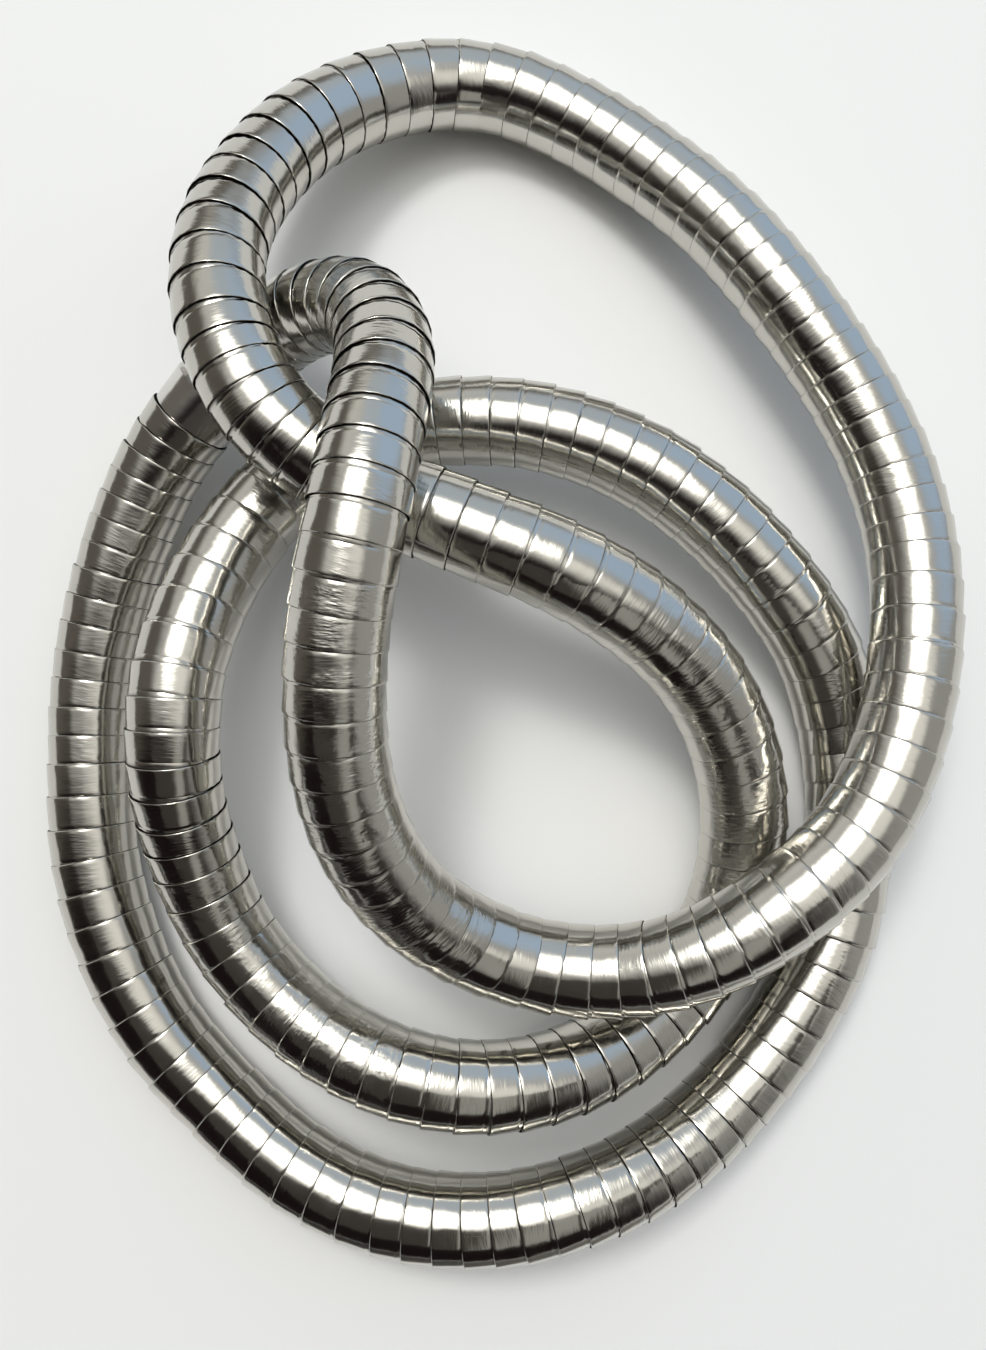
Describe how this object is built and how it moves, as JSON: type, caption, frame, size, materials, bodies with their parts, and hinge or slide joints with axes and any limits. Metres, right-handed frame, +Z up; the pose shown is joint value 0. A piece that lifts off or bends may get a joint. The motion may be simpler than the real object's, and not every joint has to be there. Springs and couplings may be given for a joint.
{
  "type": "bendable link necklace",
  "caption": "Long bendable tube of nested polished steel ring links on a sheathed core wire, closed by a magnet clasp and laid down in crossing loops.",
  "frame": {"origin": "centre of the footprint on the surface that the necklace lies on", "axes": "+Z up from the table; +Y towards the crown of the big upper loop, along the longest extent; +X to its right"},
  "size_m": [0.1035, 0.1409, 0.0399],
  "materials": {
    "link_steel": "polished, with fine scratches round each link",
    "core_rubber": "matt black sheath",
    "core_wire": "soft drawn wire",
    "magnet": "nickel plated"
  },
  "bodies": {
    "tail": {"tail_links": "link_steel", "hook_links_1": "link_steel", "hook_links_2": "link_steel", "front_links_1": "link_steel", "sheath_tail": "core_rubber", "wire_tail": "core_wire", "tail_ferrule": "link_steel", "tail_magnet": "magnet"},
    "root": {"front_links_2": "link_steel", "front_links_3": "link_steel", "sweep_links_1": "link_steel", "sweep_links_2": "link_steel", "sweep_links_3": "link_steel", "rise_links_1": "link_steel", "rise_links_2": "link_steel", "rise_links_3": "link_steel", "crown_links_1": "link_steel", "crown_links_2": "link_steel", "crown_links_3": "link_steel", "fall_links_1": "link_steel", "fall_links_2": "link_steel", "middle_links_1": "link_steel", "middle_links_2": "link_steel", "turn_links_1": "link_steel", "turn_links_2": "link_steel", "inner_ring_links_1": "link_steel", "inner_ring_links_2": "link_steel", "inner_ring_links_3": "link_steel", "inner_ring_links_4": "link_steel", "inner_ring_links_5": "link_steel", "under_links_1": "link_steel", "under_links_2": "link_steel", "right_strand_links_1": "link_steel", "right_strand_links_2": "link_steel", "outer_ring_links_1": "link_steel", "sheath_main": "core_rubber", "wire_main": "core_wire"},
    "outer_right": {"outer_ring_links_2": "link_steel", "outer_ring_links_3": "link_steel", "sheath_right": "core_rubber", "wire_right": "core_wire"},
    "outer_bottom": {"outer_ring_links_4": "link_steel", "outer_ring_links_5": "link_steel", "sheath_bottom": "core_rubber", "wire_bottom": "core_wire"},
    "outer_left": {"outer_ring_links_6": "link_steel", "outer_ring_links_7": "link_steel", "sheath_left": "core_rubber", "wire_left": "core_wire"},
    "outer_upper": {"outer_ring_links_8": "link_steel", "sheath_upper": "core_rubber", "wire_upper": "core_wire"},
    "outer_end": {"outer_ring_links_9": "link_steel", "sheath_end": "core_rubber", "wire_end": "core_wire", "end_ferrule": "link_steel", "end_magnet": "magnet"}
  },
  "joints": [
    {"name": "tail_bend", "type": "hinge", "parent": "root", "child": "tail", "pos_m": [-0.01233, 0.00946, 0.0349], "axis": [0, 0, -1], "range_deg": [0, 8]},
    {"name": "right_bend", "type": "hinge", "parent": "root", "child": "outer_right", "pos_m": [0.03961, -0.03502, 0.005], "axis": [0, 0, 1], "range_deg": [0, 10]},
    {"name": "bottom_bend", "type": "hinge", "parent": "outer_right", "child": "outer_bottom", "pos_m": [0.00917, -0.06352, 0.01044], "axis": [0, 0, 1], "range_deg": [0, 10]},
    {"name": "left_bend", "type": "hinge", "parent": "outer_bottom", "child": "outer_left", "pos_m": [-0.03081, -0.05402, 0.00555], "axis": [0, 0, 1], "range_deg": [0, 10]},
    {"name": "upper_bend", "type": "hinge", "parent": "outer_left", "child": "outer_upper", "pos_m": [-0.04681, -0.01504, 0.005], "axis": [0, 0, 1], "range_deg": [0, 10]},
    {"name": "end_bend", "type": "hinge", "parent": "outer_upper", "child": "outer_end", "pos_m": [-0.04378, 0.00695, 0.00599], "axis": [0, 0, 1], "range_deg": [0, 10]}
  ]
}
